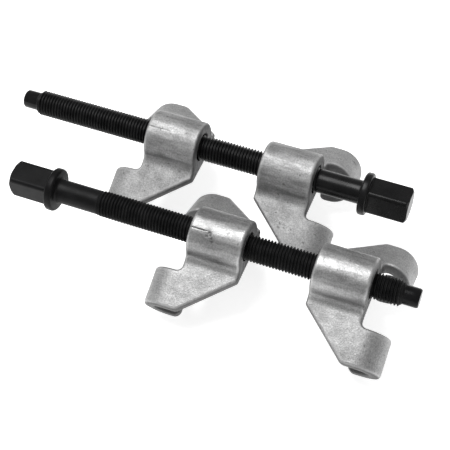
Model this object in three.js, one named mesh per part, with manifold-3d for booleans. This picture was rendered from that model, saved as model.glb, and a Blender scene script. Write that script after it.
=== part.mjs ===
// Coil spring compressor, sold and drawn as a pair.
// Each compressor is one long square-headed screw carrying two hooked jaws that face away from each other.
// The jaw near the screw's tip holds a threaded block, so turning the screw draws it towards the other jaw.
// Millimetres, +Z up. X runs along the screws, Y across them, and the hook lips rest on z = 0.
import * as THREE from 'three';
import { mergeVertices } from 'three/addons/utils/BufferGeometryUtils.js';
import Module from 'manifold-3d';

const wasm = await Module();
wasm.setup();

// ---- Driving dimensions --------------------------------------------------

// Layout of the pair
const SCREW_SPACING = 63.2;        // between the two screw axes
const HEAD_END_X = 117.7;          // distance of each drive head's outer face from the middle of the pair
const REAR_THREADED_X = -17.9;     // inner end of each jaw, facing its partner
const REAR_PLAIN_X = 23.7;
const FRONT_PLAIN_X = 37.3;
const FRONT_THREADED_X = 80.1;

// Screw
const SCREW_LENGTH = 260;
const THREAD_R = 8;                // M16 thread, modelled at its outside diameter
const SHANK_R = 7.45;
const SHANK_LENGTH = 28.4;
const DOG_R = 5.9;                 // reduced point at the tip
const DOG_LENGTH = 10.4;
const COLLAR_R = 13.4;
const COLLAR_THICKNESS = 4.9;
const HEAD_AF = 17;                // square drive, across flats
const HEAD_LENGTH = 25.4;
const HEAD_CORNER_R = 2.2;
const HEAD_CHAMFER = 1.6;
const REAR_HEAD_TURN = -8;         // how far each head stands turned, in degrees
const FRONT_HEAD_TURN = -3;

// Jaw: a thick plate arched over the screw, with a sloping wing and a hook on each side
const PLATE = 6.8;
const ARCH_R = 16;                 // outside of the arch
const ARCH_LENGTH = 34.4;
const BLEND_R = 6;                 // hollow corner between arch and wing
const WING_ANGLE = THREE.MathUtils.degToRad(22.5);
const WING_Y = 20.8;               // a point on the wing's upper face, where its inner edge starts
const WING_Z = -7.9;
const HOOK_INNER = 3.2;            // hook strip, measured down the wing from that point
const HOOK_OUTER = 27;
const STRIP_START_X = 29.8;        // where the slanting inner edge reaches the strip's full width
const OUTLINE_R = 5.5;
const NOTCH_R = 3.6;

// Hook: the strip curls down and back in two quarter ellipses, then ends in a short lip
const BEND_X = 37.6;
const UPPER_REACH = 15.2;
const UPPER_DROP = 14.8;
const LOWER_REACH = 14.4;
const LOWER_DROP = 13.4;
const LIP_LENGTH = 6.3;
const LIP_ANGLE = THREE.MathUtils.degToRad(3);
const LIP_CORNER_R = 4.5;

// Block under the arch, around the lower half of the screw
const BLOCK_GAP = 0.3;
const BLOCK_TOP_Z = -1.2;
const BLOCK_BOTTOM_Z = -15.1;
const BLOCK_INSET = 0.4;
const GROOVE_R = 8.35;

const ARC_STEP = THREE.MathUtils.degToRad(7.5);

// ---- Helpers -------------------------------------------------------------

function toSolid(geometry) {
  const bare = geometry.index ? geometry.toNonIndexed() : geometry.clone();
  for (const name of Object.keys(bare.attributes)) {
    if (name !== 'position') bare.deleteAttribute(name);
  }
  const merged = mergeVertices(bare, 1e-4);
  return new wasm.Manifold(new wasm.Mesh({
    numProp: 3,
    vertProperties: new Float32Array(merged.attributes.position.array),
    triVerts: new Uint32Array(merged.index.array),
  }));
}

function toGeometry(solid) {
  const mesh = solid.getMesh();
  const geometry = new THREE.BufferGeometry();
  geometry.setAttribute('position', new THREE.BufferAttribute(new Float32Array(mesh.vertProperties), 3));
  geometry.setIndex(new THREE.BufferAttribute(new Uint32Array(mesh.triVerts), 1));
  geometry.computeVertexNormals();
  return geometry;
}

// Points on a circle or ellipse from one angle to another, both ends included.
function arc(cx, cy, rx, ry, from, to) {
  const count = Math.max(2, Math.ceil(Math.abs(to - from) / ARC_STEP));
  const points = [];
  for (let i = 0; i <= count; i++) {
    const angle = from + ((to - from) * i) / count;
    points.push([cx + rx * Math.cos(angle), cy + ry * Math.sin(angle)]);
  }
  return points;
}

// Replaces one sharp corner of an outline by an arc.
function roundCorner(before, corner, after, radius) {
  const at = new THREE.Vector2(...corner);
  const u = new THREE.Vector2(...before).sub(at).normalize();
  const v = new THREE.Vector2(...after).sub(at).normalize();
  const half = Math.acos(THREE.MathUtils.clamp(u.dot(v), -1, 1)) / 2;
  const centre = u.clone().add(v).normalize().multiplyScalar(radius / Math.sin(half)).add(at);
  const start = u.multiplyScalar(radius / Math.tan(half)).add(at).sub(centre);
  const end = v.multiplyScalar(radius / Math.tan(half)).add(at).sub(centre);
  const from = Math.atan2(start.y, start.x);
  let to = Math.atan2(end.y, end.x);
  if (to - from > Math.PI) to -= 2 * Math.PI;
  if (from - to > Math.PI) to += 2 * Math.PI;
  return arc(centre.x, centre.y, radius, radius, from, to);
}

function shapeOf(points) {
  return new THREE.Shape(points.map(([x, y]) => new THREE.Vector2(x, y)));
}

// Extrudes an outline and lays it down with the given axes: outline x, outline y, and the way it is extruded.
function prism(points, length, axisX, axisY, origin) {
  const geometry = new THREE.ExtrudeGeometry(shapeOf(points), { depth: length, bevelEnabled: false });
  const x = new THREE.Vector3(...axisX);
  const y = new THREE.Vector3(...axisY);
  const frame = new THREE.Matrix4().makeBasis(x, y, x.clone().cross(y)).setPosition(...origin);
  return geometry.applyMatrix4(frame);
}

function mirroredInY(solid) {
  return solid.mirror([0, 1, 0]);
}

// ---- Jaw -----------------------------------------------------------------

// Directions in the section across the screw, on the +Y side.
const DOWN_WING = [Math.cos(WING_ANGLE), -Math.sin(WING_ANGLE)];
const WING_NORMAL = [Math.sin(WING_ANGLE), Math.cos(WING_ANGLE)];

// A point of the +Y wing: q millimetres down the slope, n millimetres below its upper face.
function onWing(q, n) {
  return [
    WING_Y + q * DOWN_WING[0] - n * WING_NORMAL[0],
    WING_Z + q * DOWN_WING[1] - n * WING_NORMAL[1],
  ];
}

// Centre of the hollow blend between arch and wing, and the two angles where it meets them.
function blend() {
  const planeOffset = WING_NORMAL[0] * WING_Y + WING_NORMAL[1] * WING_Z;
  const across = planeOffset + BLEND_R;
  const along = Math.sqrt((ARCH_R + BLEND_R) ** 2 - across ** 2);
  const y = across * WING_NORMAL[0] + along * DOWN_WING[0];
  const z = across * WING_NORMAL[1] + along * DOWN_WING[1];
  const wingAngle = Math.atan2(-WING_NORMAL[1], -WING_NORMAL[0]);
  return { y, z, archAngle: Math.atan2(z, y), wingAngle: wingAngle + 2 * Math.PI };
}

// Where the blend ends on the wing, measured down the slope.
function blendEndOnWing() {
  const { y, z } = blend();
  return (y - WING_Y) * DOWN_WING[0] + (z - WING_Z) * DOWN_WING[1];
}

// One side of the plate's section, from the top of the arch to the start of the wing, at a given depth.
function archSide(depth) {
  const { y, z, archAngle, wingAngle } = blend();
  const onArch = arc(0, 0, ARCH_R - depth, ARCH_R - depth, Math.PI / 2, archAngle);
  const inBlend = arc(y, z, BLEND_R + depth, BLEND_R + depth, archAngle + Math.PI, wingAngle);
  return [...onArch, ...inBlend.slice(1)];
}

function archSolid() {
  const lap = blendEndOnWing() + 0.8;
  const outer = [...archSide(0), onWing(lap, 0)];
  const inner = [...archSide(PLATE), onWing(lap, PLATE)];
  const right = [...outer, ...inner.reverse()];
  const left = right.slice(1, -1).reverse().map(([y, z]) => [-y, z]);
  return toSolid(prism([...right, ...left], ARCH_LENGTH, [0, 1, 0], [0, 0, 1], [0, 0, 0]));
}

// Outline of a wing in its own plane: x along the screw, then distance down the slope.
function wingOutline() {
  const start = blendEndOnWing() - 0.2;
  const corner = [STRIP_START_X, HOOK_OUTER];
  const notch = [ARCH_LENGTH, HOOK_INNER];
  return [
    [0, start],
    [0, 0],
    ...roundCorner([0, 0], corner, [BEND_X, HOOK_OUTER], OUTLINE_R),
    [BEND_X, HOOK_OUTER],
    [BEND_X, HOOK_INNER],
    ...roundCorner([BEND_X + 1, HOOK_INNER], notch, [ARCH_LENGTH, start - 5], NOTCH_R),
    [ARCH_LENGTH, start],
  ];
}

// Outer surface of the hook as x and depth, with the normal pointing into the plate.
function hookPath() {
  const path = [];
  const steps = 10;
  for (let i = 0; i <= steps; i++) {
    const t = (Math.PI / 2) * (i / steps);
    path.push([
      BEND_X + UPPER_REACH * Math.sin(t),
      UPPER_DROP * (1 - Math.cos(t)),
      UPPER_REACH * Math.cos(t),
      UPPER_DROP * Math.sin(t),
    ]);
  }
  for (let i = 1; i <= steps; i++) {
    const t = (Math.PI / 2) * (i / steps);
    path.push([
      BEND_X + UPPER_REACH - LOWER_REACH * (1 - Math.cos(t)),
      UPPER_DROP + LOWER_DROP * Math.sin(t),
      -LOWER_REACH * Math.sin(t),
      LOWER_DROP * Math.cos(t),
    ]);
  }
  const last = path[path.length - 1];
  const along = [-Math.cos(LIP_ANGLE), Math.sin(LIP_ANGLE)];
  path.push([last[0] + LIP_LENGTH * along[0], last[1] + LIP_LENGTH * along[1], ...along]);
  return path;
}

function hookSolid() {
  const path = hookPath();
  const outer = path.map(([x, depth]) => [x, depth]);
  const inner = path.map(([x, depth, dx, dd]) => {
    const size = Math.hypot(dx, dd);
    return [x - (PLATE * dd) / size, depth + (PLATE * dx) / size];
  });
  const lap = 1;
  const section = [[BEND_X - lap, 0], ...outer, ...inner.reverse(), [BEND_X - lap, PLATE]];
  const [y, z] = onWing(HOOK_INNER, 0);
  const downNormal = [0, -WING_NORMAL[0], -WING_NORMAL[1]];
  const width = HOOK_OUTER - HOOK_INNER;
  return toSolid(prism(section, width, [1, 0, 0], downNormal, [0, y, z]));
}

// Cutters that round the two free corners of the lip.
function lipCutters() {
  const path = hookPath();
  const end = path[path.length - 1][0];
  const cutters = [];
  for (const [edge, inward] of [[HOOK_INNER, 1], [HOOK_OUTER, -1]]) {
    const cx = end + LIP_CORNER_R;
    const cq = edge + inward * LIP_CORNER_R;
    const from = inward > 0 ? 1.5 * Math.PI : Math.PI / 2;
    const round = arc(cx, cq, LIP_CORNER_R, LIP_CORNER_R, from, Math.PI);
    const outline = [...round, [end - 1, cq], [end - 1, edge - inward], [cx, edge - inward]];
    const below = onWing(0, UPPER_DROP + LOWER_DROP + 6);
    const tall = PLATE + 10;
    const xAxis = [1, 0, 0];
    const qAxis = [0, DOWN_WING[0], DOWN_WING[1]];
    const origin = [0, below[0], below[1]];
    cutters.push(toSolid(prism(outline, tall, xAxis, qAxis, origin)));
  }
  return cutters;
}

function sideSolid() {
  const foot = onWing(0, PLATE);
  const wing = prism(wingOutline(), PLATE, [1, 0, 0], [0, DOWN_WING[0], DOWN_WING[1]], [0, foot[0], foot[1]]);
  let hook = hookSolid();
  for (const cutter of lipCutters()) hook = hook.subtract(cutter);
  return toSolid(wing).add(hook);
}

function jawGeometry() {
  const side = sideSolid();
  return toGeometry(archSolid().add(side).add(mirroredInY(side)));
}

// ---- Block ---------------------------------------------------------------

function blockGeometry() {
  const sidePath = [...archSide(PLATE + BLOCK_GAP), onWing(0, PLATE + BLOCK_GAP)];
  const below = sidePath.filter(([, z]) => z < BLOCK_TOP_Z && z > BLOCK_BOTTOM_Z + 0.2);
  const grooveAngle = Math.asin(BLOCK_TOP_Z / GROOVE_R);
  const groove = arc(0, 0, GROOVE_R, GROOVE_R, grooveAngle, -Math.PI - grooveAngle);
  const shoulder = [below[0][0], BLOCK_TOP_Z];
  const foot = [below[below.length - 1][0], BLOCK_BOTTOM_Z];
  const right = [shoulder, ...below, foot];
  const left = right.map(([y, z]) => [-y, z]);
  const length = ARCH_LENGTH - 2 * BLOCK_INSET;
  return prism([...groove, ...left, ...right.reverse()], length, [0, 1, 0], [0, 0, 1], [BLOCK_INSET, 0, 0]);
}

// ---- Screw ---------------------------------------------------------------

// Turned profile from the tip at x = 0 towards the head, as distance and radius.
function screwProfile() {
  const collarStart = SCREW_LENGTH - HEAD_LENGTH - COLLAR_THICKNESS;
  const threadEnd = collarStart - SHANK_LENGTH;
  return [
    [0, 0],
    [0, DOG_R - 0.9],
    [0.9, DOG_R],
    [DOG_LENGTH - 1, DOG_R],
    [DOG_LENGTH + 1.2, THREAD_R],
    [threadEnd, THREAD_R],
    [threadEnd + 1, SHANK_R],
    [collarStart, SHANK_R],
    [collarStart, COLLAR_R - 1.2],
    [collarStart + 1.2, COLLAR_R],
    [collarStart + COLLAR_THICKNESS - 1.2, COLLAR_R],
    [collarStart + COLLAR_THICKNESS, COLLAR_R - 1.2],
    [collarStart + COLLAR_THICKNESS, 0],
  ];
}

function headOutline(halfWidth) {
  const points = [];
  const c = halfWidth - HEAD_CORNER_R;
  for (const [sx, sy, from] of [[1, 1, 0], [-1, 1, 1], [-1, -1, 2], [1, -1, 3]]) {
    const start = (from * Math.PI) / 2;
    points.push(...arc(sx * c, sy * c, HEAD_CORNER_R, HEAD_CORNER_R, start, start + Math.PI / 2));
  }
  return points;
}

// Square head, its outer end turned down to a cone that only touches the corners.
function headSolid() {
  const lap = 1;
  const start = SCREW_LENGTH - HEAD_LENGTH - lap;
  const square = prism(headOutline(HEAD_AF / 2), HEAD_LENGTH + lap, [0, 1, 0], [0, 0, 1], [start, 0, 0]);
  const reach = HEAD_AF / Math.SQRT2;
  const cone = new THREE.LatheGeometry([
    new THREE.Vector2(0, start - 1),
    new THREE.Vector2(reach + 1, start - 1),
    new THREE.Vector2(reach + 1, SCREW_LENGTH - 2.6),
    new THREE.Vector2(reach - HEAD_CHAMFER * 1.9, SCREW_LENGTH),
    new THREE.Vector2(0, SCREW_LENGTH),
  ], 48);
  cone.rotateZ(-Math.PI / 2);
  return toSolid(square).intersect(toSolid(cone));
}

function screwGeometry() {
  const profile = screwProfile().map(([x, r]) => new THREE.Vector2(r, x));
  const turned = new THREE.LatheGeometry(profile, 48);
  turned.rotateZ(-Math.PI / 2);
  return toGeometry(toSolid(turned).add(headSolid()));
}

// ---- Assembly ------------------------------------------------------------

function material(color, metalness, roughness) {
  return new THREE.MeshStandardMaterial({ color, metalness, roughness });
}

function node(name, geometry, look) {
  const mesh = new THREE.Mesh(geometry, look);
  mesh.name = name;
  return mesh;
}

const blackOxide = material(0x17181a, 0.7, 0.45);
const zincPlate = material(0xa9abad, 0.8, 0.5);
const zincBlock = material(0x6f7174, 0.8, 0.6);

const jawShape = jawGeometry();
const blockShape = blockGeometry();
const screwShape = screwGeometry();

// Height of the screw axes: the lips' lowest edges stand on z = 0.
jawShape.computeBoundingBox();
const AXIS_Z = -jawShape.boundingBox.min.z;

// A jaw with its block. Facing is +1 when the hooks point along +X and -1 when they point along -X.
function jawSet(jawName, blockName, x, facing) {
  const set = new THREE.Group();
  set.add(node(jawName, jawShape, zincPlate));
  set.add(node(blockName, blockShape, zincBlock));
  set.position.x = x;
  if (facing < 0) set.rotation.z = Math.PI;
  return set;
}

// A screw with its head towards +X (headSide +1) or -X (headSide -1).
function placedScrew(name, headSide, turn) {
  const screw = node(name, screwShape, blackOxide);
  const holder = new THREE.Group();
  screw.rotation.x = THREE.MathUtils.degToRad(turn);
  screw.position.x = HEAD_END_X - SCREW_LENGTH;
  holder.add(screw);
  if (headSide < 0) holder.rotation.z = Math.PI;
  return holder;
}

const rear = new THREE.Group();
rear.position.set(0, SCREW_SPACING / 2, AXIS_Z);
rear.add(placedScrew('rear_screw', 1, REAR_HEAD_TURN));
rear.add(jawSet('rear_threaded_jaw', 'rear_nut_block', REAR_THREADED_X, -1));
rear.add(jawSet('rear_plain_jaw', 'rear_guide_block', REAR_PLAIN_X, 1));

const front = new THREE.Group();
front.position.set(0, -SCREW_SPACING / 2, AXIS_Z);
front.add(placedScrew('front_screw', -1, FRONT_HEAD_TURN));
front.add(jawSet('front_plain_jaw', 'front_guide_block', FRONT_PLAIN_X, -1));
front.add(jawSet('front_threaded_jaw', 'front_nut_block', FRONT_THREADED_X, 1));

const springCompressorPair = new THREE.Group();
springCompressorPair.name = 'coil_spring_compressor_pair';
springCompressorPair.add(rear, front);

export default springCompressorPair;
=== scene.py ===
"""Looks of a pair of coil spring compressors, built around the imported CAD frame.

Each jaw is drawn as the flat plate it is bent from, with rounded edges, and is then folded over its screw.
Each screw is one turned skin with a real helical thread.
Lengths are in millimetres until a mesh is made. The camera, the lights and the floor are in metres.
"""

import math
from collections import namedtuple

import bmesh
import bpy
from mathutils import Matrix, Vector, noise


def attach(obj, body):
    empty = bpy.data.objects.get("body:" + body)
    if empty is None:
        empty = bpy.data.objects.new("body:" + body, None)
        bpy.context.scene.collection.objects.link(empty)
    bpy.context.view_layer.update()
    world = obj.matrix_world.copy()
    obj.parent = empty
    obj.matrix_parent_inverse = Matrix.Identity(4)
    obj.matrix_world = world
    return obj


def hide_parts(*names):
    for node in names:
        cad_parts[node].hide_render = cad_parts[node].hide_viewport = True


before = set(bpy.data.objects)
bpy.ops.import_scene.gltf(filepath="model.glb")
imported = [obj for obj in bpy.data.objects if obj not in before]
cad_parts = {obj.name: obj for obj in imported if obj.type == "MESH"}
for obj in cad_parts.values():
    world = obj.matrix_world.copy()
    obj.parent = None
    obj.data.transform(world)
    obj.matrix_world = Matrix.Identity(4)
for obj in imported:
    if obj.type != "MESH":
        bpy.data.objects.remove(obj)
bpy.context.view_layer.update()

MM = 0.001

# ---- Sizes, the same as in the CAD source ----------------------------------

# Layout of the pair
SCREW_SPACING = 63.2                   # between the two screw axes
REAR_Y = SCREW_SPACING / 2
FRONT_Y = -SCREW_SPACING / 2
AXIS_Z = 44.3863                       # height of the axes, with the lips standing on the ground
HEAD_END_X = 117.7                     # distance of each head's outer face from the middle of the pair
REAR_THREADED_X = -17.9                # inner end of each jaw, facing its partner
REAR_PLAIN_X = 23.7
FRONT_PLAIN_X = 37.3
FRONT_THREADED_X = 80.1

# Screw, measured from its tip
SCREW_LENGTH = 260.0
THREAD_R = 8.0
SHANK_R = 7.45
SHANK_LENGTH = 28.4
DOG_R = 5.9                            # reduced point at the tip
DOG_LENGTH = 10.4
COLLAR_R = 13.4
COLLAR_THICKNESS = 4.9
HEAD_AF = 17.0                         # square drive, across flats
HEAD_LENGTH = 25.4
HEAD_CORNER_R = 2.2
REAR_HEAD_TURN = math.radians(-8)
FRONT_HEAD_TURN = math.radians(-3)

# Jaw: a plate arched over the screw, with a sloping wing and a hook on each side
PLATE = 6.8
ARCH_R = 16.0
ARCH_LENGTH = 34.4
BLEND_R = 6.0                          # hollow corner between arch and wing
WING_ANGLE = math.radians(22.5)
WING_Y = 20.8                          # a point on the wing's upper face, where its inner edge starts
WING_Z = -7.9
HOOK_INNER = 3.2                       # hook strip, measured down the wing from that point
HOOK_OUTER = 27.0
STRIP_START_X = 29.8                   # where the slanting inner edge reaches the strip's full width
OUTLINE_R = 5.5
NOTCH_R = 3.6

# Hook: the strip curls down and back in two quarter ellipses, then ends in a short lip
BEND_X = 37.6
UPPER_REACH = 15.2
UPPER_DROP = 14.8
LOWER_REACH = 14.4
LOWER_DROP = 13.4
LIP_LENGTH = 6.3
LIP_ANGLE = math.radians(3)
LIP_CORNER_R = 4.5

# Block under the arch, around the lower half of the screw
BLOCK_GAP = 0.3
BLOCK_TOP_Z = -1.2
BLOCK_BOTTOM_Z = -15.1
BLOCK_INSET = 0.4
GROOVE_R = 8.35

# ---- Finish of the shapes --------------------------------------------------

# Thread
PITCH = 2.0
THREAD_DEPTH = 1.2
CREST_SHARE = 0.13                     # of the pitch
ROOT_SHARE = 0.18
THREAD_LAP = 1.0                       # how far the threaded skin reaches over the point and the shank
RUN_IN = 2.2                           # length over which the thread rises from the point
RUN_OUT = 3.0                          # length over which it fades into the shank
WORN_CREST = 0.05                      # depth of the worn band on a crest

# Ends of the screw
TIP_RIM_R = 0.5
TIP_CHAMFER = 0.9
HEAD_ROOT = 0.4                        # the head widens a little over this length at the collar
HEAD_ROOT_SLOPE = 0.8
CHAMFER_END_R = 8.98
CHAMFER_SLOPE = 1.55
CHAMFER_REACH = 4                      # end of the head that gets fine rows
CHAMFER_STEP = 0.2
CHAMFER_SOFTNESS = 0.5
END_FACE = ((0.22, 0), (1.6, 0), (4.5, 0.02))      # distance in from its edge, and depth
COLLAR_FILLET_R = 1.4
COLLAR_FRONT_R = 1.5
COLLAR_BACK_R = 1.3

# Plate
TOP_EDGE_R = 1.9                       # plate edges, rolled over on the upper face
UNDER_EDGE_R = 0.9
LOWER_CORNER_R = 2.0                   # outline corner at the foot of the arch
CELL = 1.0                             # size of the plate's mesh cells
FINE_X = (14, 34)                      # where the cells are halved, for the seams and the pits
FINE_RUN = (9, 16)
MERGE_DISTANCE = 0.04
FORGED_WAVE = 0.16                     # height of the plate's unevenness
WAVES = ((0.62, 7), (0.38, 2.6))       # share and length of each wave in it
BLOCK_EDGE_R = 0.5
BLOCK_CELL = 2

# Forging seams and pits on the upper face, x from the jaw's inner end and run from the top of the arch
Seam = namedtuple("Seam", "run start strength pits")
FRONT_PITS = (                         # x, run and radius
    (21.4, 8.3, 1.0),
    (20.6, 9.8, 0.75),
    (22.4, 10.6, 0.65),
    (19.4, 11.4, 0.8),
    (18.8, 13.0, 0.85),
)
FRONT_SEAM = Seam(run=7.6, start=21.5, strength=0.85, pits=FRONT_PITS)
REAR_SEAM = Seam(run=6.2, start=17.0, strength=0.5, pits=())
SEAM_STEPS = (-0.5, -0.22, 0.0, 0.22, 0.5)         # cuts in the mesh across a seam
SEAM_DEPTH = 0.4
SEAM_WIDTH = 0.24
SEAM_WANDER = 0.35
SEAM_FADE = 3                          # length over which a seam begins
SEAM_REACH = 0.6                       # depth below which the plate has no seam
PIT_STRENGTH = 0.9

# ---- Where the plating is worn, with a painted highlight on the rolled edges, or dull, with painted shade,
# as distances from the plate's outline
WORN_AND_HIGHLIGHT_EDGE = 1.3
WORN_AND_HIGHLIGHT_WIDTH = 0.6
SIDE_EDGE = 0.15
SIDE_FADE = 0.7
# The underside is dull and darkened with painted shade.
UNDERSIDE_DULL_AND_SHADE = 0.8
HOLLOW_DULL_AND_SHADE = 0.45                     # painted shade, with duller plating, in the hollow between arch and wing
HOLLOW_SHIFT = 1
HOLLOW_WIDTH = 4
WING_FADE = 6

# ---- Colours, linear -------------------------------------------------------

BLOCK_DARK = (0.06, 0.06, 0.062)
BLOCK_LIGHT = (0.12, 0.12, 0.122)
BLACK_DARK = (0.003, 0.003, 0.0032)
BLACK_LIGHT = (0.008, 0.008, 0.0083)
BARE_CREST = (0.035, 0.035, 0.035)
SPANGLE_GREY = (0.62, 0.62, 0.62)
# Worn plating on the rolled edges, lightened further as a painted highlight.
WORN_AND_HIGHLIGHT_GREY = (0.58, 0.58, 0.58)
# Painted shade for the cut sides, the underside and the hollow.
PAINTED_SHADE_GREY = (0.09, 0.09, 0.09)
SPECK_GREY = (0.06, 0.06, 0.06)
SEAM_GREY = (0.03, 0.03, 0.03)
WHITE = (1, 1, 1, 1)

# ---- Camera, lights and floor ----------------------------------------------

VIEW_AZIMUTH = math.radians(23.43)     # of the camera's right-hand direction
VIEW_ELEVATION = math.radians(52.162)
VIEW_ROLL = math.radians(-2.328)
VIEW_TARGET = Vector((17.986, -20.943, AXIS_Z)) * MM
VIEW_DISTANCE = 0.7408
VIEW_LENS = 98.74
SENSOR_WIDTH = 36

LIGHTS = (                             # name, place, width and height, and power; both shine at the origin
    ("overhead", (-0.32, -0.01, 1.31), (0.75, 0.51), 14.7),
    ("left_fill", (-1.23, 0.06, 0.66), (0.8, 0.6), 1.4),
)
WORLD_LEVEL = 0.45
FLOOR_GLOW = 0.7
FLOOR_SIZE = 3
FLOOR_Z = -0.0002                      # just below the lips


# ---- Outlines --------------------------------------------------------------

def arc(cx, cy, rx, ry, start, end, step=math.radians(6)):
    """Points from one angle to another, both ends included."""
    count = max(2, math.ceil(abs(end - start) / step))
    angles = [start + (end - start) * i / count for i in range(count + 1)]
    return [(cx + rx * math.cos(a), cy + ry * math.sin(a)) for a in angles]


def rounded_outline(corners):
    """Closed outline from corners given as x, y and radius."""
    points = []
    count = len(corners)
    for i, (x, y, radius) in enumerate(corners):
        at = Vector((x, y))
        u = (Vector(corners[i - 1][:2]) - at).normalized()
        v = (Vector(corners[(i + 1) % count][:2]) - at).normalized()
        half = u.angle(v) / 2
        centre = at + (u + v).normalized() * radius / math.sin(half)
        start = at + u * radius / math.tan(half) - centre
        end = at + v * radius / math.tan(half) - centre
        first = math.atan2(start.y, start.x)
        turn = math.atan2(start.x * end.y - start.y * end.x, start.dot(end))
        points.extend(arc(centre.x, centre.y, radius, radius, first, first + turn))
    return points


def inset_outline(points, inset):
    """The outline moved inwards. It runs counter-clockwise."""
    moved = []
    count = len(points)
    for i, point in enumerate(points):
        at = Vector(point)
        before = (at - Vector(points[i - 1])).normalized()
        after = (Vector(points[(i + 1) % count]) - at).normalized()
        inward = Vector((-before.y - after.y, before.x + after.x)).normalized()
        lean = inward.dot(Vector((-after.y, after.x)))
        moved.append(at + inward * inset / lean)
    return moved


def distance_to_outline(point, outline):
    """Distance from a point to the nearest side of a closed outline."""
    best = math.inf
    count = len(outline)
    for i in range(count):
        a = outline[i]
        b = outline[(i + 1) % count]
        dx, dy = b[0] - a[0], b[1] - a[1]
        size = dx * dx + dy * dy
        along = (point[0] - a[0]) * dx + (point[1] - a[1]) * dy
        t = 0 if size == 0 else max(0, min(1, along / size))
        best = min(best, math.hypot(point[0] - a[0] - t * dx, point[1] - a[1] - t * dy))
    return best


def rise(value, start, length):
    """0 up to start, 1 from start + length on, and even between."""
    return min(1, max(0, (value - start) / length))


def hump(distance, width):
    """1 at no distance, falling smoothly to 0."""
    return math.exp(-(distance / width) ** 2)


# ---- Plates ----------------------------------------------------------------

def edge_levels(thickness, first_r, last_r, steps=4):
    """Depth and inset of each ring of a plate whose two edges are rounded."""
    levels = []
    quarter_turn = [math.pi / 2 * i / steps for i in range(steps + 1)]
    for a in quarter_turn:
        levels.append((first_r * (1 - math.cos(a)), first_r * (1 - math.sin(a))))
    for a in reversed(quarter_turn):
        levels.append((thickness - last_r * (1 - math.cos(a)), last_r * (1 - math.sin(a))))
    return levels


def bridge(bm, a, b):
    """Faces between two rows of vertices that run all the way round."""
    count = len(a)
    for i in range(count):
        j = (i + 1) % count
        bm.faces.new((a[i], a[j], b[j], b[i]))


def add_plate(bm, outline, levels):
    """A closed plate in flat space, x and y in its plane and depth as z."""
    rings = []
    for depth, inset in levels:
        rings.append([bm.verts.new((p[0], p[1], depth)) for p in inset_outline(outline, inset)])
    for upper, lower in zip(rings, rings[1:]):
        bridge(bm, upper, lower)
    bm.faces.new(list(reversed(rings[0])))
    bm.faces.new(rings[-1])


def slice_mesh(bm, axis, positions):
    """Cuts the mesh at each position along an axis, and keeps both sides."""
    normal = Vector((0, 0, 0))
    normal[axis] = 1
    for position in positions:
        geometry = bm.verts[:] + bm.edges[:] + bm.faces[:]
        bmesh.ops.bisect_plane(bm, geom=geometry, dist=1e-5, plane_co=normal * position, plane_no=normal)


def steps_between(low, high, step):
    """Even positions between two ends, without the ends."""
    count = max(1, round((high - low) / step))
    return [low + (high - low) * i / count for i in range(1, count)]


def stand(place, centre, facing):
    """Takes a point of a jaw or block to its place in the pair, in metres. Facing is 1 or -1 along X."""
    return Vector((
        centre[0] + facing * place.x,
        centre[1] + facing * place.y,
        AXIS_Z + place.z,
    )) * MM


def finish_mesh(name, bm, sharp_angle):
    """Makes an object of the mesh, smooth but for its sharp edges."""
    for face in bm.faces:
        face.smooth = True
    for edge in bm.edges:
        edge.smooth = edge.calc_face_angle(0) < sharp_angle
    mesh = bpy.data.meshes.new(name)
    bm.to_mesh(mesh)
    bm.free()
    piece = bpy.data.objects.new(name, mesh)
    bpy.context.scene.collection.objects.link(piece)
    return piece


# ---- Folding a flat plate into a jaw ---------------------------------------

DOWN_WING = (math.cos(WING_ANGLE), -math.sin(WING_ANGLE))
WING_NORMAL = (math.sin(WING_ANGLE), math.cos(WING_ANGLE))


def blend_centre():
    """Centre of the hollow corner that touches both the arch and the wing."""
    across = WING_NORMAL[0] * WING_Y + WING_NORMAL[1] * WING_Z + BLEND_R
    along = math.sqrt((ARCH_R + BLEND_R) ** 2 - across ** 2)
    y = across * WING_NORMAL[0] + along * DOWN_WING[0]
    z = across * WING_NORMAL[1] + along * DOWN_WING[1]
    return y, z


BLEND_Y, BLEND_Z = blend_centre()
ARCH_TURN = math.pi / 2 - math.atan2(BLEND_Z, BLEND_Y)     # how far the arch turns on each side
BLEND_TURN = ARCH_TURN - WING_ANGLE
ARCH_RUN = ARCH_R * ARCH_TURN
WING_RUN = ARCH_RUN + BLEND_R * BLEND_TURN                 # where the wing begins, along the section
BLEND_END_Q = (BLEND_Y - WING_Y) * DOWN_WING[0] + (BLEND_Z - WING_Z) * DOWN_WING[1]


def on_wing(q, depth):
    """y and z at a distance down the wing from its given point and a depth below its upper face."""
    y = WING_Y + q * DOWN_WING[0] - depth * WING_NORMAL[0]
    z = WING_Z + q * DOWN_WING[1] - depth * WING_NORMAL[1]
    return y, z


def run_of_wing(q):
    """Distance from the top of the arch, along the section, of a place on the wing."""
    return WING_RUN + q - BLEND_END_Q


def on_section(run, depth):
    """Point of the jaw's section at a distance along its upper face and a depth below it."""
    side = -1 if run < 0 else 1
    run = abs(run)
    if run < ARCH_RUN:
        angle = run / ARCH_R
        y = (ARCH_R - depth) * math.sin(angle)
        z = (ARCH_R - depth) * math.cos(angle)
    elif run < WING_RUN:
        angle = ARCH_TURN - (run - ARCH_RUN) / BLEND_R
        y = BLEND_Y - (BLEND_R + depth) * math.sin(angle)
        z = BLEND_Z - (BLEND_R + depth) * math.cos(angle)
    else:
        y, z = on_wing(run - WING_RUN + BLEND_END_Q, depth)
    return side * y, z


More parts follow.
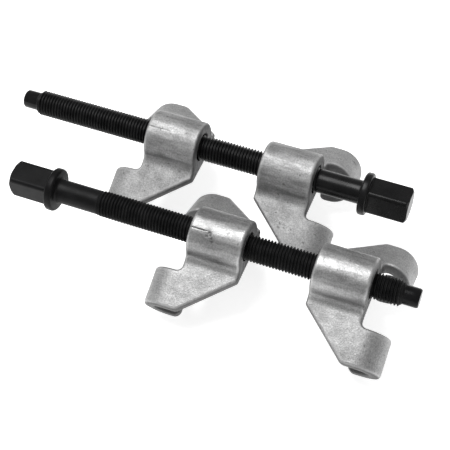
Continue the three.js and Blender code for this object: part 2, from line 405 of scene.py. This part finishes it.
def fine_hook(curve_steps=400, lip_steps=100):
    """The hook's outer face in closely spaced points, as x and depth."""
    points = []
    for i in range(curve_steps + 1):
        t = math.pi / 2 * i / curve_steps
        points.append((BEND_X + UPPER_REACH * math.sin(t), UPPER_DROP * (1 - math.cos(t))))
    for i in range(1, curve_steps + 1):
        t = math.pi / 2 * i / curve_steps
        x = BEND_X + UPPER_REACH - LOWER_REACH * (1 - math.cos(t))
        points.append((x, UPPER_DROP + LOWER_DROP * math.sin(t)))
    end_x, end_depth = points[-1]
    for i in range(1, lip_steps + 1):
        away = LIP_LENGTH * i / lip_steps
        points.append((end_x - away * math.cos(LIP_ANGLE), end_depth + away * math.sin(LIP_ANGLE)))
    return points


def evenly_spaced(points, steps):
    """Points at equal distances along a line of points, and that distance."""
    lengths = [0.0]
    for a, b in zip(points, points[1:]):
        lengths.append(lengths[-1] + math.dist(a, b))
    even = []
    k = 0
    for i in range(steps + 1):
        wanted = lengths[-1] * i / steps
        while k < len(points) - 2 and lengths[k + 1] < wanted:
            k += 1
        share = (wanted - lengths[k]) / (lengths[k + 1] - lengths[k])
        even.append(Vector(points[k]).lerp(Vector(points[k + 1]), share))
    return even, lengths[-1] / steps


def hook_path(steps=48):
    """The hook's outer face at even steps, each a point with its unit direction, and the step's length."""
    points, step = evenly_spaced(fine_hook(), steps)
    rows = []
    for i, point in enumerate(points):
        ahead = points[min(i + 1, steps)] - points[max(i - 1, 0)]
        rows.append((point, ahead.normalized()))
    rows[0] = (points[0], Vector((1, 0)))
    return rows, step


HOOK_ROWS, HOOK_STEP = hook_path()
HOOK_RUN = HOOK_STEP * (len(HOOK_ROWS) - 1)
HOOK_LAST = len(HOOK_ROWS) - 1.000001                      # just short of the last row
JAW_TIP = BEND_X + HOOK_RUN                                # length of the flat plate


def on_hook(run, depth):
    """x and depth of a point at a distance along the hook's outer face and a depth below it."""
    place = min(max(run / HOOK_STEP, 0), HOOK_LAST)
    k = int(place)
    point = HOOK_ROWS[k][0].lerp(HOOK_ROWS[k + 1][0], place - k)
    way = HOOK_ROWS[k][1].lerp(HOOK_ROWS[k + 1][1], place - k).normalized()
    return point.x - depth * way.y, point.y + depth * way.x


def fold(x, run, depth):
    """Takes a point of the flat plate to its place on the jaw."""
    if x > BEND_X:
        x, depth = on_hook(x - BEND_X, depth)
    y, z = on_section(run, depth)
    return Vector((x, y, z))


# ---- Jaws ------------------------------------------------------------------

def jaw_outline():
    """Flat outline of the whole plate, counter-clockwise, as x and distance along the section."""
    inner = run_of_wing(HOOK_INNER)
    outer = run_of_wing(HOOK_OUTER)
    half = [
        (ARCH_LENGTH, inner, NOTCH_R),
        (JAW_TIP, inner, LIP_CORNER_R),
        (JAW_TIP, outer, LIP_CORNER_R),
        (STRIP_START_X, outer, OUTLINE_R),
        (0, run_of_wing(0), LOWER_CORNER_R),
    ]
    other = [(x, -run, radius) for x, run, radius in reversed(half)]
    return rounded_outline(half + other)


def slice_jaw(bm):
    """Divides the flat plate into cells that can be folded, finer at the seams and pits."""
    far = run_of_wing(HOOK_OUTER)
    slice_mesh(bm, 0, steps_between(0, BEND_X, CELL) + [BEND_X] + steps_between(BEND_X, JAW_TIP, CELL))
    slice_mesh(bm, 0, [x + CELL / 2 for x in steps_between(*FINE_X, CELL)])
    slice_mesh(bm, 1, steps_between(-far, far, CELL))
    for seam in (FRONT_SEAM, REAR_SEAM):
        slice_mesh(bm, 1, [seam.run + step for step in SEAM_STEPS])
    slice_mesh(bm, 1, steps_between(*FINE_RUN, CELL / 2))
    slice_mesh(bm, 2, [PLATE / 2])
    bmesh.ops.remove_doubles(bm, verts=bm.verts[:], dist=MERGE_DISTANCE)


def mark_finish(bm, outline):
    """Marks where the plate is worn, with a painted highlight on its rolled edges, where it is wing, and
    where its plating is dull, with painted shade on the cut sides, the underside and the hollow between
    arch and wing.
    """
    edge = bm.verts.layers.float.new("edge")
    wing = bm.verts.layers.float.new("wing")
    dull_and_shade = bm.verts.layers.float.new("dull_and_shade")
    for vert in bm.verts:
        near_edge = distance_to_outline(vert.co[:2], outline)
        # A worn band on the rolled edge, which also carries a painted highlight.
        vert[edge] = hump(near_edge - WORN_AND_HIGHLIGHT_EDGE, WORN_AND_HIGHLIGHT_WIDTH)
        vert[wing] = rise(abs(vert.co.y), ARCH_RUN, WING_FADE)
        # Painted shade, with duller plating, on the cut sides, in the hollow between arch and wing and on
        # the underside.
        side_dull_and_shade = 1 - rise(near_edge, SIDE_EDGE, SIDE_FADE)
        hollow_dull_and_shade = HOLLOW_DULL_AND_SHADE * hump(abs(vert.co.y) - ARCH_RUN + HOLLOW_SHIFT, HOLLOW_WIDTH)
        below = vert.co.z > PLATE / 2 + 0.1
        vert[dull_and_shade] = UNDERSIDE_DULL_AND_SHADE if below else max(side_dull_and_shade, hollow_dull_and_shade)


def flat_jaw():
    """Mesh of the plate before it is folded. All four jaws start from it."""
    bm = bmesh.new()
    outline = jaw_outline()
    add_plate(bm, outline, edge_levels(PLATE, TOP_EDGE_R, UNDER_EDGE_R))
    slice_jaw(bm)
    mark_finish(bm, outline)
    return bm


def seam_strength(x, run, seam):
    """How deep the forging seam and its pits are at a point of the upper face, 0 to 1."""
    if seam is None:
        return 0
    wander = SEAM_WANDER * noise.noise(Vector((x * 0.25, 3.1, 0)))
    line = seam.strength * hump(run - seam.run - wander, SEAM_WIDTH)
    line *= rise(x, seam.start, SEAM_FADE)
    spots = []
    for pit_x, pit_run, radius in seam.pits:
        away = (x - pit_x) ** 2 + (run - pit_run) ** 2
        spots.append(PIT_STRENGTH * math.exp(-away / radius ** 2))
    return max([line] + spots)


def build_jaw(name, flat, centre, facing, seam):
    """Folds a copy of the flat plate, roughens it as forged, and puts it in place."""
    bm = flat.copy()
    seam_layer = bm.verts.layers.float.new("seam")
    seed = Vector((centre[0] * 0.37, centre[1] * 0.53, 0))         # makes each jaw's unevenness its own
    for vert in bm.verts:
        x, run, depth = vert.co
        cut = seam_strength(x, run, seam) if depth < SEAM_REACH else 0
        vert[seam_layer] = cut
        flat_place = Vector((x, run, depth)) + seed
        wave = sum(share * noise.noise(flat_place / length) for share, length in WAVES)
        sink = FORGED_WAVE * (0.5 - 0.5 * wave) + SEAM_DEPTH * cut
        if depth < PLATE / 2:
            depth += sink
        else:
            depth -= sink
        vert.co = stand(fold(x, run, depth), centre, facing)
    bmesh.ops.recalc_face_normals(bm, faces=bm.faces[:])
    return finish_mesh(name, bm, sharp_angle=math.radians(60))


# ---- Blocks ----------------------------------------------------------------

def block_outline(side_steps=40, corner_margin=0.3):
    """Section of a block, counter-clockwise as y and z."""
    depth = PLATE + BLOCK_GAP
    side = []
    for i in range(side_steps + 1):
        y, z = on_section(WING_RUN * i / side_steps, depth)
        if BLOCK_BOTTOM_Z + corner_margin < z < BLOCK_TOP_Z - corner_margin:
            side.append((y, z))
    right = [(side[-1][0], BLOCK_BOTTOM_Z)] + side[::-1] + [(side[0][0], BLOCK_TOP_Z)]
    left = [(-y, z) for y, z in reversed(right)]
    start = math.asin(BLOCK_TOP_Z / GROOVE_R)
    groove = arc(0, 0, GROOVE_R, GROOVE_R, start, -math.pi - start)
    return right + groove + left


def build_block(name, centre, facing):
    """A block the length of the arch, with slightly rounded ends."""
    bm = bmesh.new()
    length = ARCH_LENGTH - 2 * BLOCK_INSET
    add_plate(bm, block_outline(), edge_levels(length, BLOCK_EDGE_R, BLOCK_EDGE_R, 2))
    slice_mesh(bm, 2, steps_between(0, length, BLOCK_CELL))
    for vert in bm.verts:
        y, z, along = vert.co
        vert.co = stand(Vector((along + BLOCK_INSET, y, z)), centre, facing)
    bmesh.ops.recalc_face_normals(bm, faces=bm.faces[:])
    return finish_mesh(name, bm, sharp_angle=math.radians(35))


# ---- Screws ----------------------------------------------------------------

COLLAR_START = SCREW_LENGTH - HEAD_LENGTH - COLLAR_THICKNESS
THREAD_START = DOG_LENGTH - THREAD_LAP
THREAD_END = COLLAR_START - SHANK_LENGTH + THREAD_LAP

FLANK_SHARE = (1 - CREST_SHARE - ROOT_SHARE) / 2
THREAD_SHAPE = (                       # share of the pitch, and height: 1 on the crest and 0 in the root
    (0, 1),
    (CREST_SHARE, 1),
    (CREST_SHARE + FLANK_SHARE, 0),
    (1 - FLANK_SHARE, 0),
)


def angles_around():
    """Angles of the points around a screw, closest at the square head's corners."""
    beside = (2.5, 5, 7.5, 10, 13, 18, 24, 31, 38)
    quarter_turn = [-45] + [-step for step in reversed(beside)] + [0] + list(beside)
    return [math.radians(45 + 90 * side + step) for side in range(4) for step in quarter_turn]


ANGLES = angles_around()


def square_radius(angle):
    """Distance from the axis to the rounded square head's side at an angle."""
    half = HEAD_AF / 2
    core = half - HEAD_CORNER_R
    angle = abs((angle + math.pi / 4) % (math.pi / 2) - math.pi / 4)
    if math.tan(angle) * half <= core:
        return half / math.cos(angle)
    along = core * (math.cos(angle) + math.sin(angle))
    return along + math.sqrt(along ** 2 - 2 * core ** 2 + HEAD_CORNER_R ** 2)


def soft_min(a, b, width):
    """The smaller of two numbers, with the change between them rounded over a width."""
    h = max(width - abs(a - b), 0) / width
    return min(a, b) - h * h * width / 4


def quarter(x, r, radius, start, end, steps=5):
    """Rounded corner of a turned profile, as x and radius, between two angles in degrees."""
    angles = [math.radians(start + (end - start) * i / steps) for i in range(steps + 1)]
    return [(x + radius * math.cos(a), r + radius * math.sin(a)) for a in angles]


def thread_radius(x, height):
    """Radius at a place on the thread. Height is 1 on the crest and 0 in the root."""
    entry = DOG_R + (x - THREAD_START) * (THREAD_R - DOG_R) / RUN_IN
    full = THREAD_R - THREAD_DEPTH * (1 - height)
    return min(entry, SHANK_R + (full - SHANK_R) * rise(THREAD_END - x, 0, RUN_OUT))


def thread_samples(angle):
    """x and radius along one line of the thread's skin."""
    turns = math.ceil((THREAD_END - THREAD_START) / PITCH) + 1
    rows = []
    for turn in range(-1, turns):
        for share, height in THREAD_SHAPE:
            x = THREAD_START + PITCH * (turn + share + angle / (2 * math.pi))
            x = min(max(x, THREAD_START), THREAD_END)
            rows.append((x, thread_radius(x, height)))
    return rows


def thread_rows():
    """The thread's skin in rows around the axis. Each row climbs by one pitch in a turn."""
    columns = [thread_samples(angle) for angle in ANGLES]
    return [[column[i] for column in columns] for i in range(len(columns[0]))]


def turned_rows(profile):
    """The same profile all round, given as x and radius."""
    return [[(x, r) for _ in ANGLES] for x, r in profile]


def tip_profile():
    """The reduced point: end face, rounded rim, chamfer and side."""
    face = [(0, 0.6), (0, 3.0)]
    rim = quarter(TIP_RIM_R, DOG_R - TIP_CHAMFER, TIP_RIM_R, 180, 135, 3)
    shoulder = [(TIP_CHAMFER, DOG_R - 0.05), (1.1, DOG_R)]
    side = [(5.5, DOG_R), (THREAD_START - 0.3, DOG_R)]
    return face + rim + shoulder + side


def collar_profile():
    """The plain shank and the collar, with a fillet between them."""
    end = COLLAR_START + COLLAR_THICKNESS
    shank = [(THREAD_END + along, SHANK_R) for along in (0.4, 9, 18)]
    fillet = quarter(COLLAR_START - COLLAR_FILLET_R, SHANK_R + COLLAR_FILLET_R, COLLAR_FILLET_R, 270, 360)
    front = quarter(COLLAR_START + COLLAR_FRONT_R, COLLAR_R - COLLAR_FRONT_R, COLLAR_FRONT_R, 180, 90)
    back = quarter(end - COLLAR_BACK_R, COLLAR_R - COLLAR_BACK_R, COLLAR_BACK_R, 90, 0)
    return shank + fillet + front + back


def head_rows():
    """The square head, cut by a cone at its end and closed by a shallow face."""
    start = SCREW_LENGTH - HEAD_LENGTH
    stations = [start + along for along in (0, HEAD_ROOT, 1.2, 6, 12, 18)]
    fine_rows = round(CHAMFER_REACH / CHAMFER_STEP)
    stations += [SCREW_LENGTH - CHAMFER_REACH + CHAMFER_STEP * i for i in range(fine_rows)]
    stations += [SCREW_LENGTH - 0.06]
    rows = []
    for x in stations:
        cone = CHAMFER_END_R + CHAMFER_SLOPE * (SCREW_LENGTH - x)
        flare = max(0, HEAD_ROOT - (x - start)) * HEAD_ROOT_SLOPE
        rows.append([(x, soft_min(square_radius(a), cone, CHAMFER_SOFTNESS) + flare) for a in ANGLES])
    last = rows[-1]
    for pull, depth in END_FACE:
        rows.append([(SCREW_LENGTH - depth, r - pull) for _, r in last])
    return rows


def join_thread(bm, rows):
    """Faces of the thread's skin. The last column meets the first one a whole turn further on."""
    final = len(rows) - 1
    last_column = len(ANGLES) - 1
    per_turn = len(THREAD_SHAPE)
    for i in range(final):
        for k in range(len(ANGLES)):
            if k < last_column:
                ring = (rows[i][k], rows[i][k + 1], rows[i + 1][k + 1], rows[i + 1][k])
            else:
                near = rows[min(i + per_turn, final)][0]
                far = rows[min(i + 1 + per_turn, final)][0]
                ring = (rows[i][k], near, far, rows[i + 1][k])
            if len(set(ring)) == 4:
                bm.faces.new(ring)


def mark_screw(bm, tip, thread, samples):
    """Marks the worn crests, the thread and the point. Samples give each thread vertex's x and radius."""
    wear = bm.verts.layers.float["edge"]
    threaded = bm.verts.layers.float["thread"]
    polished = bm.verts.layers.float["point"]
    for row, row_samples in zip(thread, samples):
        for vert, (_, radius) in zip(row, row_samples):
            vert[wear] = 1 if radius > THREAD_R - WORN_CREST else 0
            vert[threaded] = 1
    for row in tip:
        for vert in row:
            vert[polished] = 1


def build_screw(name, centre_y, head_side, turn):
    """One closed skin from the tip to the head, made of rows of points around the axis."""
    bm = bmesh.new()
    for layer in ("edge", "thread", "point"):
        bm.verts.layers.float.new(layer)

    def add_rows(rows):
        made = []
        for row in rows:
            made.append([bm.verts.new(place(x, r, a)) for (x, r), a in zip(row, ANGLES)])
        return made

    def place(x, radius, angle):
        angle += turn
        side = radius * math.cos(angle)
        up = radius * math.sin(angle)
        along = HEAD_END_X - SCREW_LENGTH + x
        return Vector((head_side * along, centre_y + head_side * side, AXIS_Z + up)) * MM

    samples = thread_rows()
    tip = add_rows(turned_rows(tip_profile()))
    body = add_rows(turned_rows(collar_profile()) + head_rows())
    thread = add_rows(samples)
    mark_screw(bm, tip, thread, samples)
    for rows in (tip, body):
        for a, b in zip(rows, rows[1:]):
            bridge(bm, a, b)
    join_thread(bm, thread)
    bridge(bm, tip[-1], thread[0])
    bridge(bm, thread[-1], body[0])
    bm.faces.new(tip[0])
    bm.faces.new(list(reversed(body[-1])))
    bmesh.ops.remove_doubles(bm, verts=bm.verts[:], dist=1e-7)
    bmesh.ops.dissolve_degenerate(bm, edges=bm.edges[:], dist=1e-7)
    bmesh.ops.recalc_face_normals(bm, faces=bm.faces[:])
    return finish_mesh(name, bm, sharp_angle=math.radians(28))


# ---- Materials -------------------------------------------------------------

class Nodes:
    """Short calls for building one material's node tree."""

    def __init__(self, name):
        self.material = bpy.data.materials.new(name)
        self.material.use_nodes = True
        self.tree = self.material.node_tree
        self.shader = self.tree.nodes["Principled BSDF"]
        self.place = self.tree.nodes.new("ShaderNodeTexCoord").outputs["Object"]

    def link(self, source, target):
        self.tree.links.new(source, target)

    def noise(self, scale, detail=2.0, roughness=0.5, stretch=None):
        """Noise with about scale patches to a metre."""
        node = self.tree.nodes.new("ShaderNodeTexNoise")
        node.inputs["Scale"].default_value = scale
        node.inputs["Detail"].default_value = detail
        node.inputs["Roughness"].default_value = roughness
        vector = self.place
        if stretch:
            mapping = self.tree.nodes.new("ShaderNodeMapping")
            mapping.inputs["Scale"].default_value = stretch
            self.link(self.place, mapping.inputs["Vector"])
            vector = mapping.outputs["Vector"]
        self.link(vector, node.inputs["Vector"])
        return node.outputs["Fac"]

    def attribute(self, name):
        """A value that the mesh carries at each vertex."""
        node = self.tree.nodes.new("ShaderNodeAttribute")
        node.attribute_name = name
        return node.outputs["Fac"]

    def ramp(self, source, stops):
        """Turns a value into a colour or grey level, from stops of position and level."""
        node = self.tree.nodes.new("ShaderNodeValToRGB")
        elements = node.color_ramp.elements
        while len(elements) < len(stops):
            elements.new(0.5)
        for element, (position, level) in zip(elements, stops):
            element.position = position
            colour = level if isinstance(level, tuple) else (level, level, level)
            element.color = (*colour, 1)
        self.link(source, node.inputs["Fac"])
        return node.outputs["Color"]

    def mix(self, factor, a, b, blend="MIX"):
        """Mixes two colours, each a tuple or a socket."""
        node = self.tree.nodes.new("ShaderNodeMix")
        node.data_type = "RGBA"
        node.blend_type = blend
        for value, socket in ((factor, node.inputs[0]), (a, node.inputs[6]), (b, node.inputs[7])):
            if isinstance(value, (int, float)):
                socket.default_value = value
            elif isinstance(value, tuple):
                socket.default_value = (*value, 1)
            else:
                self.link(value, socket)
        return node.outputs[2]

    def math(self, operation, a, b, clamp=False):
        """One step of arithmetic on numbers or sockets."""
        node = self.tree.nodes.new("ShaderNodeMath")
        node.operation = operation
        node.use_clamp = clamp
        for value, socket in ((a, node.inputs[0]), (b, node.inputs[1])):
            if isinstance(value, (int, float)):
                socket.default_value = value
            else:
                self.link(value, socket)
        return node.outputs[0]

    def bump(self, height, strength, distance, before=None):
        """Surface relief of a height in metres, on top of any relief before it."""
        node = self.tree.nodes.new("ShaderNodeBump")
        node.inputs["Strength"].default_value = strength
        node.inputs["Distance"].default_value = distance
        self.link(height, node.inputs["Height"])
        if before is not None:
            self.link(before, node.inputs["Normal"])
        return node.outputs["Normal"]

    def finish(self, colour, roughness, normal, metallic):
        """Gives the shader its inputs, and returns the material."""
        self.link(colour, self.shader.inputs["Base Color"])
        self.link(roughness, self.shader.inputs["Roughness"])
        self.link(normal, self.shader.inputs["Normal"])
        self.shader.inputs["Metallic"].default_value = metallic
        return self.material


def zinc_colour(n, low, high, wing, dull_and_shade):
    """Cloudy grey with grain, streaks on the arch, spangle on the wings, worn edges with a painted
    highlight, specks, painted shade on the cut sides, the underside and the hollow, and seams.
    """
    cloud = n.ramp(n.noise(60, 3, 0.55), ((0.30, low), (0.70, high)))
    grain = n.ramp(n.noise(1100, 2, 0.6), ((0.30, 0.76), (0.52, 1.0), (0.74, 1.28)))
    colour = n.mix(1.0, cloud, grain, "MULTIPLY")
    streaks = n.ramp(n.noise(420, 2, 0.5, (0.14, 1.0, 1.0)), ((0.35, 0.82), (0.65, 1.14)))
    streaked = n.math("SUBTRACT", 1.0, n.math("MULTIPLY", wing, 0.7))
    colour = n.mix(streaked, colour, streaks, "MULTIPLY")
    spangle = n.ramp(n.noise(1150, 1, 0.5), ((0.52, 0.07), (0.68, 0.30)))
    colour = n.mix(n.math("MULTIPLY", spangle, wing), colour, SPANGLE_GREY)
    # Worn rolled edges, lightened further as a painted highlight.
    worn_and_highlight = n.math("MULTIPLY", n.attribute("edge"), n.noise(260, 3, 0.6), clamp=True)
    colour = n.mix(worn_and_highlight, colour, WORN_AND_HIGHLIGHT_GREY)
    speck = n.math("LESS_THAN", n.noise(430, 1, 0.4), 0.272)
    colour = n.mix(n.math("MULTIPLY", speck, 0.5), colour, SPECK_GREY)
    # Painted shade on the cut sides, the underside and the hollow.
    colour = n.mix(n.math("MULTIPLY", dull_and_shade, 0.8), colour, PAINTED_SHADE_GREY)
    return n.mix(n.math("MULTIPLY", n.attribute("seam"), 0.8, clamp=True), colour, SEAM_GREY)


def zinc_roughness(n, base_rough, wing, dull_and_shade):
    """Patchy, and rougher on the wings, the sides and the underside."""
    rough = n.ramp(n.noise(150, 3, 0.6), ((0.3, base_rough), (0.7, base_rough + 0.14)))
    rough = n.math("ADD", rough, n.math("MULTIPLY", wing, 0.12))
    return n.math("ADD", rough, n.math("MULTIPLY", dull_and_shade, 0.12), clamp=True)


def zinc_relief(n, wing):
    """Low waves under a fine grain, which is deeper on the wings."""
    waves = n.bump(n.noise(160, 2, 0.5), 0.35, 0.0004)
    depth = n.math("ADD", n.math("MULTIPLY", wing, 0.6), 0.6)
    height = n.math("MULTIPLY", n.noise(1300, 2, 0.65), depth)
    return n.bump(height, 0.5, 0.0003, waves)


def zinc_material(name, low, high, base_rough):
    """Zinc-plated forging. Low and high are the grey levels that its clouds run between."""
    n = Nodes(name)
    wing = n.attribute("wing")
    dull_and_shade = n.attribute("dull_and_shade")
    colour = zinc_colour(n, low, high, wing, dull_and_shade)
    rough = zinc_roughness(n, base_rough, wing, dull_and_shade)
    return n.finish(colour, rough, zinc_relief(n, wing), 0.9)


def block_material():
    """The blocks under the arches: duller plating with saw marks across the end faces."""
    n = Nodes("zinc_block_steel")
    cloud = n.ramp(n.noise(120, 3, 0.6), ((0.3, BLOCK_DARK), (0.7, BLOCK_LIGHT)))
    marks = n.ramp(n.noise(700, 2, 0.5, (1.0, 1.0, 0.12)), ((0.35, 0.8), (0.65, 1.15)))
    colour = n.mix(1.0, cloud, marks, "MULTIPLY")
    rough = n.ramp(n.noise(300, 2, 0.5), ((0.3, 0.45), (0.7, 0.6)))
    normal = n.bump(n.noise(900, 2, 0.6), 0.3, 0.0002)
    return n.finish(colour, rough, normal, 0.8)


def black_material(name, base_rough, specular):
    """Oil-blackened steel: near black, with a little bare grey on the crests and a polished point."""
    n = Nodes(name)
    cloud = n.ramp(n.noise(90, 3, 0.6), ((0.3, BLACK_DARK), (0.7, BLACK_LIGHT)))
    grain = n.ramp(n.noise(1400, 2, 0.6), ((0.3, 0.75), (0.7, 1.3)))
    colour = n.mix(1.0, cloud, grain, "MULTIPLY")
    patches = n.ramp(n.noise(180, 3, 0.6), ((0.45, 0.0), (0.75, 0.4)))
    colour = n.mix(n.math("MULTIPLY", n.attribute("edge"), patches), colour, BARE_CREST)
    rough = n.ramp(n.noise(200, 3, 0.6), ((0.3, base_rough), (0.7, base_rough + 0.1)))
    rough = n.math("ADD", rough, n.math("MULTIPLY", n.attribute("thread"), 0.15))
    rough = n.math("SUBTRACT", rough, n.math("MULTIPLY", n.attribute("point"), 0.22), clamp=True)
    normal = n.bump(n.noise(1300, 2, 0.6), 0.16, 0.00015)
    n.shader.inputs["Specular IOR Level"].default_value = specular
    return n.finish(colour, rough, normal, 0.0)


def floor_material():
    """Matt white that glows a little."""
    n = Nodes("floor_white")
    tone = n.ramp(n.noise(1.5, 2, 0.5), ((0.3, 0.86), (0.7, 0.88)))
    n.link(tone, n.shader.inputs["Base Color"])
    n.shader.inputs["Roughness"].default_value = 0.9
    n.shader.inputs["Specular IOR Level"].default_value = 0.1
    n.shader.inputs["Emission Color"].default_value = WHITE
    n.shader.inputs["Emission Strength"].default_value = FLOOR_GLOW
    return n.material


# ---- Scene -----------------------------------------------------------------

def add_camera():
    """The camera, looking down at the target from a distance, and rolled a little."""
    right = Vector((math.cos(VIEW_AZIMUTH), math.sin(VIEW_AZIMUTH), 0))
    level = math.cos(VIEW_ELEVATION)
    ahead = Vector((
        -math.sin(VIEW_AZIMUTH) * level,
        math.cos(VIEW_AZIMUTH) * level,
        -math.sin(VIEW_ELEVATION),
    ))
    up = right.cross(ahead)
    across = right * math.cos(VIEW_ROLL) + up * math.sin(VIEW_ROLL)
    upward = up * math.cos(VIEW_ROLL) - right * math.sin(VIEW_ROLL)
    turn = Matrix((across, upward, -ahead)).transposed().to_4x4()
    camera = bpy.data.cameras.new("camera")
    camera.lens = VIEW_LENS
    camera.sensor_width = SENSOR_WIDTH
    holder = bpy.data.objects.new("camera", camera)
    holder.matrix_world = Matrix.Translation(VIEW_TARGET - ahead * VIEW_DISTANCE) @ turn
    bpy.context.scene.collection.objects.link(holder)
    bpy.context.scene.camera = holder


def add_floor():
    """A plain white floor under the lips."""
    bm = bmesh.new()
    bmesh.ops.create_grid(bm, x_segments=4, y_segments=4, size=FLOOR_SIZE)
    floor = finish_mesh("floor", bm, sharp_angle=math.pi)
    floor.location.z = FLOOR_Z
    floor.data.materials.append(floor_material())


def add_world():
    """Even white light from all round."""
    world = bpy.data.worlds.new("studio")
    world.use_nodes = True
    background = world.node_tree.nodes["Background"]
    background.inputs["Color"].default_value = WHITE
    background.inputs["Strength"].default_value = WORLD_LEVEL
    bpy.context.scene.world = world


def add_light(name, place, size, power):
    """A soft rectangular light, shining at the origin."""
    light = bpy.data.lights.new(name, "AREA")
    light.shape = "RECTANGLE"
    light.size, light.size_y = size
    light.energy = power
    lamp = bpy.data.objects.new(name, light)
    way = -Vector(place).normalized()
    lamp.matrix_world = Matrix.Translation(place) @ way.to_track_quat("-Z", "Y").to_matrix().to_4x4()
    bpy.context.scene.collection.objects.link(lamp)


add_camera()
add_floor()
add_world()
for light_name, light_place, light_size, light_power in LIGHTS:
    add_light(light_name, light_place, light_size, light_power)
bpy.context.scene.view_settings.view_transform = "Standard"

# ---- Pieces ----------------------------------------------------------------

satin_zinc = zinc_material("zinc_satin", 0.26, 0.39, 0.50)
bright_zinc = zinc_material("zinc_bright", 0.24, 0.36, 0.36)
dull_zinc = block_material()
satin_black = black_material("black_satin", 0.24, 0.16)
matt_black = black_material("black_matt", 0.38, 0.1)

JAWS = (                               # jaw, inner end, facing, body, seam and finish
    ("rear_threaded_jaw", (REAR_THREADED_X, REAR_Y), -1, "rear_threaded_jaw_body", REAR_SEAM, satin_zinc),
    ("rear_plain_jaw", (REAR_PLAIN_X, REAR_Y), 1, "plain_jaws", None, satin_zinc),
    ("front_plain_jaw", (FRONT_PLAIN_X, FRONT_Y), -1, "plain_jaws", FRONT_SEAM, bright_zinc),
    ("front_threaded_jaw", (FRONT_THREADED_X, FRONT_Y), 1, "front_threaded_jaw_body", None, bright_zinc),
)
# The block under each jaw's arch, in the jaws' order
BLOCKS = ("rear_nut_block", "rear_guide_block", "front_guide_block", "front_nut_block")
SCREWS = (                             # screw, its y, the side its head is on, head's turn, body and finish
    ("rear_screw", REAR_Y, 1, REAR_HEAD_TURN, "rear_screw_body", satin_black),
    ("front_screw", FRONT_Y, -1, FRONT_HEAD_TURN, "front_screw_body", matt_black),
)


def dress(piece, node, body, material):
    """Gives a piece its material, and makes it ride with its body in place of its CAD node."""
    piece.data.materials.append(material)
    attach(piece, body)
    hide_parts(node)


flat = flat_jaw()
for node, centre, facing, body, seam, finish in JAWS:
    jaw = build_jaw(node + "_forging", flat, centre, facing, seam)
    dress(jaw, node, body, finish)
flat.free()
for node, (_, centre, facing, body, _, _) in zip(BLOCKS, JAWS):
    dress(build_block(node + "_body", centre, facing), node, body, dull_zinc)
for node, centre_y, head_side, turn, body, finish in SCREWS:
    dress(build_screw(node + "_cut", centre_y, head_side, turn), node, body, finish)
